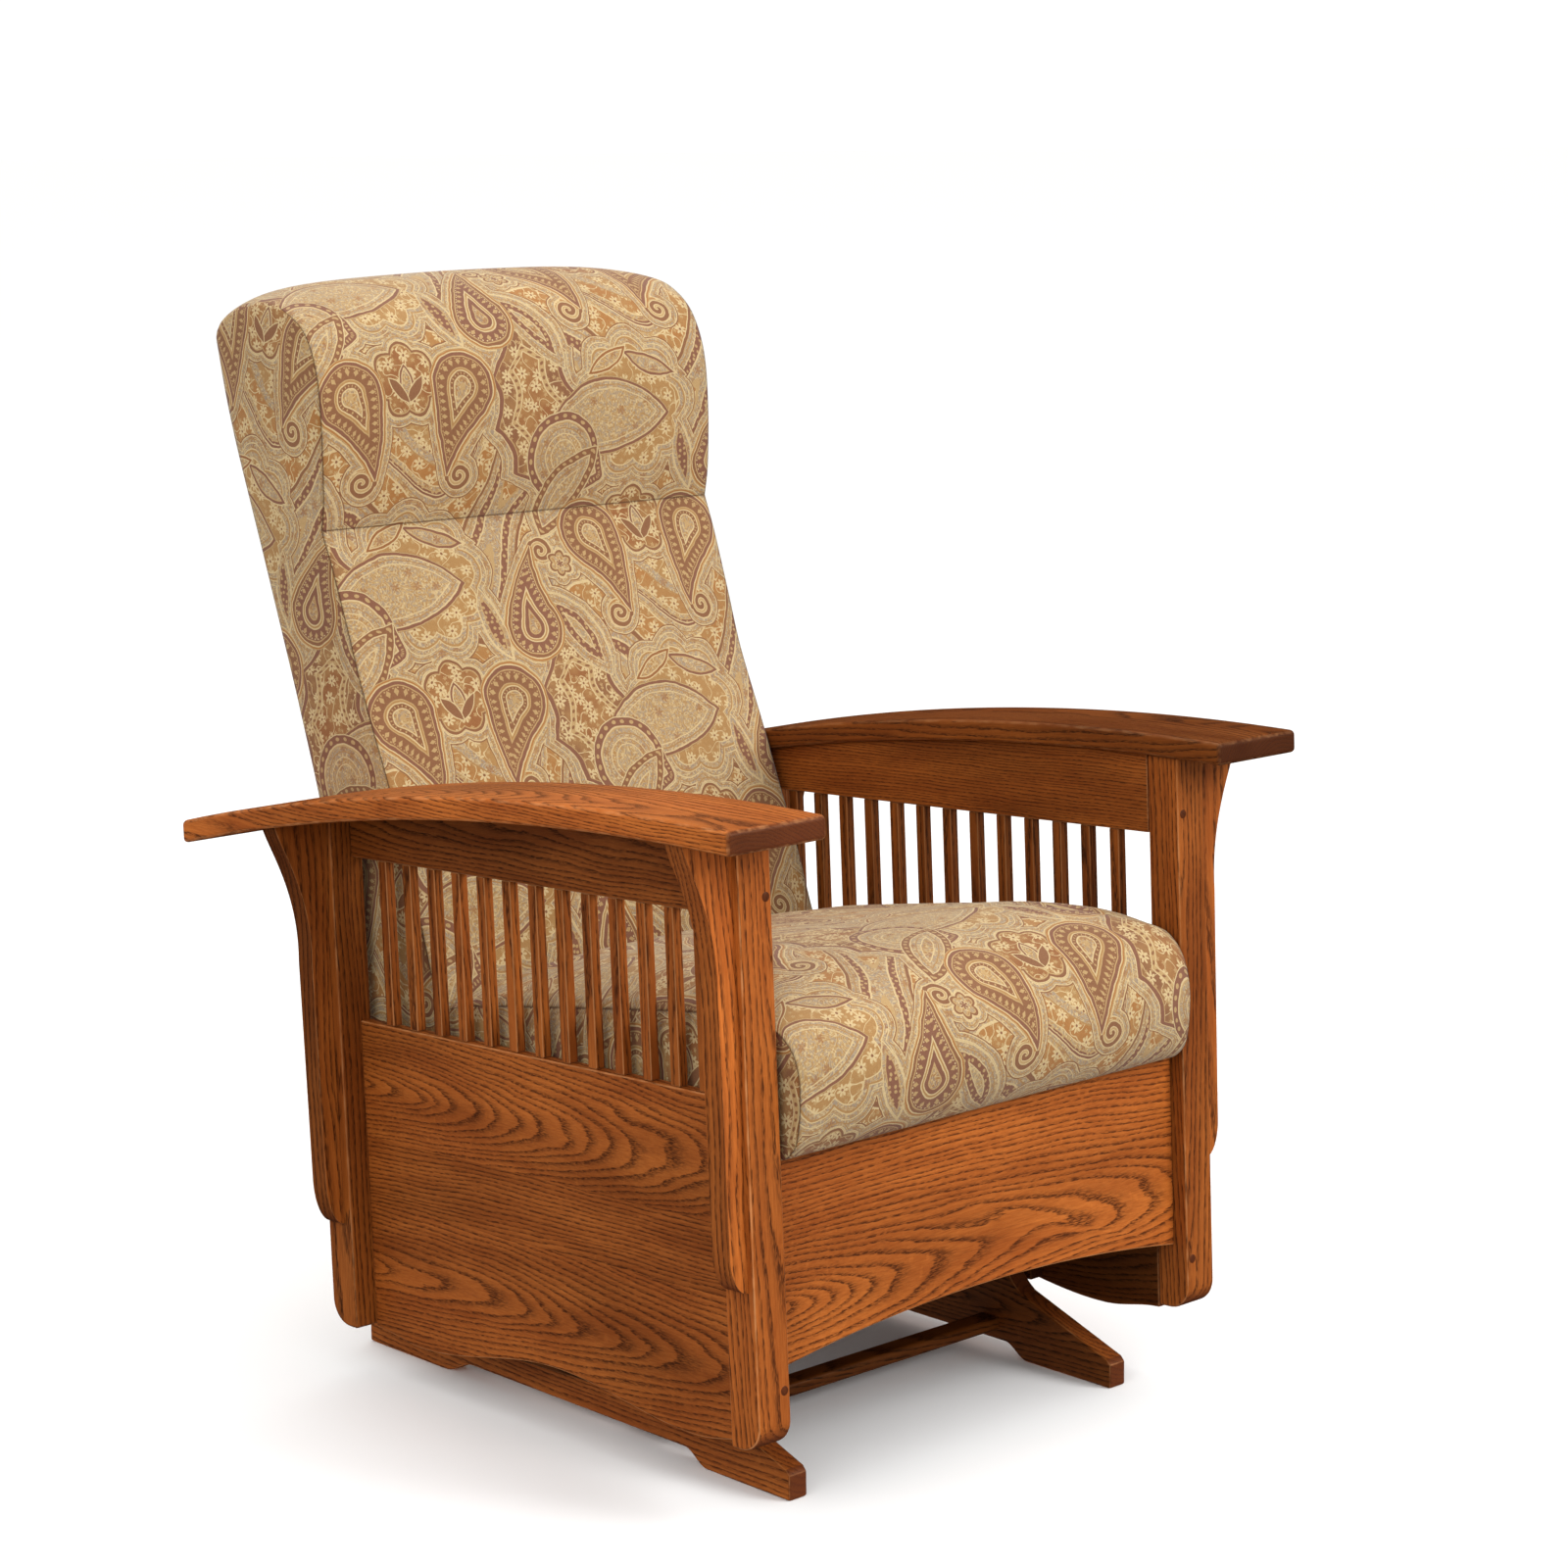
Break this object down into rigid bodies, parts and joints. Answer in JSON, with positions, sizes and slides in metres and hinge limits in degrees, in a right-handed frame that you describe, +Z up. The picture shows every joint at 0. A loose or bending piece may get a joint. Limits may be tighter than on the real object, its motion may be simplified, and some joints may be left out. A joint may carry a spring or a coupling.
{
  "type": "glider chair",
  "caption": "Mission glider chair in stained oak with bowed arms, slatted sides and tapestry-covered seat and high back; the seat glides on swing links over a low base.",
  "frame": {"origin": "on the floor under the middle of the whole chair's bounding box, at rest", "axes": "+Z up, the chair faces -Y, the sitter's left is +X"},
  "size_m": [0.753, 0.9099, 1.0903],
  "materials": {
    "oak": "warm reddish-brown stain on open-grained oak, satin",
    "plug_wood": "stained end-grain plugs, satin",
    "frame_timber": "plain planed hardwood, unfinished",
    "upholstery": "woven tapestry in tan, gold and cream with mauve-brown motifs",
    "lining": "thin black non-woven cloth",
    "spring_steel": "drawn wire",
    "link_steel": "satin black enamel",
    "bearing_steel": "ground steel",
    "hardware_steel": "zinc plated"
  },
  "bodies": {
    "base": {"base_side_right": "oak", "base_side_left": "oak", "base_front_stretcher": "oak", "base_rear_stretcher": "oak", "base_front_brace": "oak", "base_rear_brace": "oak", "base_screws": "hardware_steel", "upper_pivot_bolts": "hardware_steel", "upper_pivot_nuts": "hardware_steel", "upper_pivot_washers": "hardware_steel"},
    "link_front_right": {"swing_link_front_right": "link_steel", "link_bearings_front_right": "bearing_steel"},
    "link_front_left": {"swing_link_front_left": "link_steel", "link_bearings_front_left": "bearing_steel"},
    "link_rear_right": {"swing_link_rear_right": "link_steel", "link_bearings_rear_right": "bearing_steel"},
    "link_rear_left": {"swing_link_rear_left": "link_steel", "link_bearings_rear_left": "bearing_steel"},
    "seat": {"front_post_right": "oak", "front_post_left": "oak", "rear_post_right": "oak", "rear_post_left": "oak", "front_corbel_right": "oak", "front_corbel_left": "oak", "rear_corbel_right": "oak", "rear_corbel_left": "oak", "arm_right": "oak", "arm_left": "oak", "side_top_rail_right": "oak", "side_top_rail_left": "oak", "side_slats_right": "oak", "side_slats_left": "oak", "side_panel_right": "oak", "side_panel_left": "oak", "front_apron": "oak", "rear_apron": "oak", "hanging_rail_right": "oak", "hanging_rail_left": "oak", "lower_pivot_bolts": "hardware_steel", "lower_pivot_nuts": "hardware_steel", "lower_pivot_washers": "hardware_steel", "seat_rail_right": "frame_timber", "seat_rail_left": "frame_timber", "seat_rail_front": "frame_timber", "seat_rail_rear": "frame_timber", "seat_springs": "spring_steel", "deck_cloth": "lining", "dust_cover": "lining", "seat_cushion": "upholstery", "back_stile_right": "frame_timber", "back_stile_left": "frame_timber", "back_top_rail": "frame_timber", "back_middle_rail": "frame_timber", "back_bottom_rail": "frame_timber", "back_springs": "spring_steel", "back_pad": "upholstery", "back_panel": "upholstery", "wood_plugs": "plug_wood", "frame_screws": "hardware_steel"}
  },
  "joints": [
    {"name": "glide", "type": "hinge", "parent": "base", "child": "link_front_right", "pos_m": [-0.24155, -0.1665, 0.203], "axis": [1, 0, 0], "range_deg": [-20, 20]},
    {"name": "glide_front_left", "type": "hinge", "parent": "base", "child": "link_front_left", "pos_m": [0.24155, -0.1665, 0.203], "axis": [1, 0, 0], "range_deg": [-21, 21]},
    {"name": "glide_rear_right", "type": "hinge", "parent": "base", "child": "link_rear_right", "pos_m": [-0.24155, 0.0435, 0.203], "axis": [1, 0, 0], "range_deg": [-21, 21]},
    {"name": "glide_rear_left", "type": "hinge", "parent": "base", "child": "link_rear_left", "pos_m": [0.24155, 0.0435, 0.203], "axis": [1, 0, 0], "range_deg": [-21, 21]},
    {"name": "seat_level", "type": "hinge", "parent": "link_front_right", "child": "seat", "pos_m": [-0.24155, -0.1665, 0.088], "axis": [1, 0, 0], "range_deg": [-21, 21]}
  ],
  "couplings": [
    {"joint": "glide_front_left", "follows": "glide", "ratio": 1},
    {"joint": "glide_rear_right", "follows": "glide", "ratio": 1},
    {"joint": "glide_rear_left", "follows": "glide", "ratio": 1},
    {"joint": "seat_level", "follows": "glide", "ratio": -1}
  ]
}
